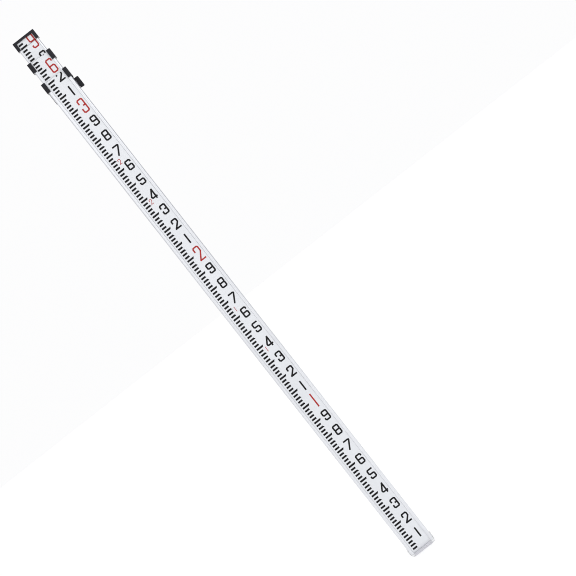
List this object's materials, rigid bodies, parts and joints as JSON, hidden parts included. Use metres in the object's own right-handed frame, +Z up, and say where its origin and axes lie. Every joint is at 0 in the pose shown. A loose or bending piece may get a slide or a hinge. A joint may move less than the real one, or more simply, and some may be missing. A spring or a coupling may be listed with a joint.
{
  "type": "leveling rod",
  "caption": "Telescoping aluminium leveling rod with a graduated front face, guide collars, a thumb lever lock, a snap button and a foot shoe, drawn closed.",
  "frame": {"origin": "centre of the foot's bottom face, which is the zero of the scale", "axes": "+Z up the rod, -Y out of the graduated face, +X to the right of someone who reads the face"},
  "size_m": [0.0563, 0.0382, 1.0618],
  "materials": {
    "tube_metal": "satin anodised",
    "scale_white": "white enamel, printed",
    "shoe_plastic": "moulded",
    "strap_steel": "brushed",
    "stop_rubber": "matte",
    "black_plastic": "moulded, slightly glossy",
    "guide_plastic": "moulded",
    "screw_steel": "zinc plated",
    "pin_steel": "turned",
    "spring_steel": "wire",
    "label_film": "film"
  },
  "bodies": {
    "outer_section": {"outer_tube": "tube_metal", "outer_scale": "scale_white", "foot_shoe": "shoe_plastic", "foot_strap": "strap_steel", "foot_rivet": "strap_steel", "foot_bumper": "stop_rubber", "outer_collar": "black_plastic", "outer_collar_screws": "screw_steel", "lock_housing": "black_plastic", "lock_housing_screws": "screw_steel", "lever_pin": "screw_steel", "lock_spring": "spring_steel", "back_label": "label_film"},
    "middle_section": {"middle_tube": "tube_metal", "middle_scale": "scale_white", "middle_collar": "black_plastic", "middle_collar_screws": "screw_steel", "middle_plug": "guide_plastic", "middle_plug_screws": "screw_steel"},
    "top_section": {"top_tube": "tube_metal", "top_scale": "scale_white", "top_cap": "black_plastic", "cap_screw": "screw_steel", "top_plug": "guide_plastic", "top_plug_screws": "screw_steel", "snap_spring": "spring_steel"},
    "lock_lever": {"lock_lever": "black_plastic"},
    "lock_pin": {"lock_pin": "pin_steel"},
    "snap_button": {"snap_button": "pin_steel"}
  },
  "joints": [
    {"name": "middle_slide", "type": "slide", "parent": "outer_section", "child": "middle_section", "axis": [0, 0, 1], "range_m": [0, 0.8316]},
    {"name": "top_slide", "type": "slide", "parent": "middle_section", "child": "top_section", "axis": [0, 0, 1], "range_m": [0, 0.8631]},
    {"name": "lever_press", "type": "hinge", "parent": "outer_section", "child": "lock_lever", "pos_m": [0.0104, 0.0166, 0.953], "axis": [0, 0, -1], "range_deg": [0, 18], "stiffness_Nm_per_rad": 0.05, "springref_deg": -22.92},
    {"name": "pin_pull", "type": "slide", "parent": "outer_section", "child": "lock_pin", "axis": [0, 1, 0], "range_m": [0, 0.0014], "deforming": ["lock_spring"]},
    {"name": "button_press", "type": "slide", "parent": "top_section", "child": "snap_button", "axis": [0, -1, 0], "range_m": [0, 0.0015], "stiffness_N_per_m": 800, "springref_m": -0.003, "deforming": ["snap_spring"]}
  ],
  "couplings": [
    {"joint": "pin_pull", "follows": "lever_press", "m_per_rad": 0.0043}
  ]
}
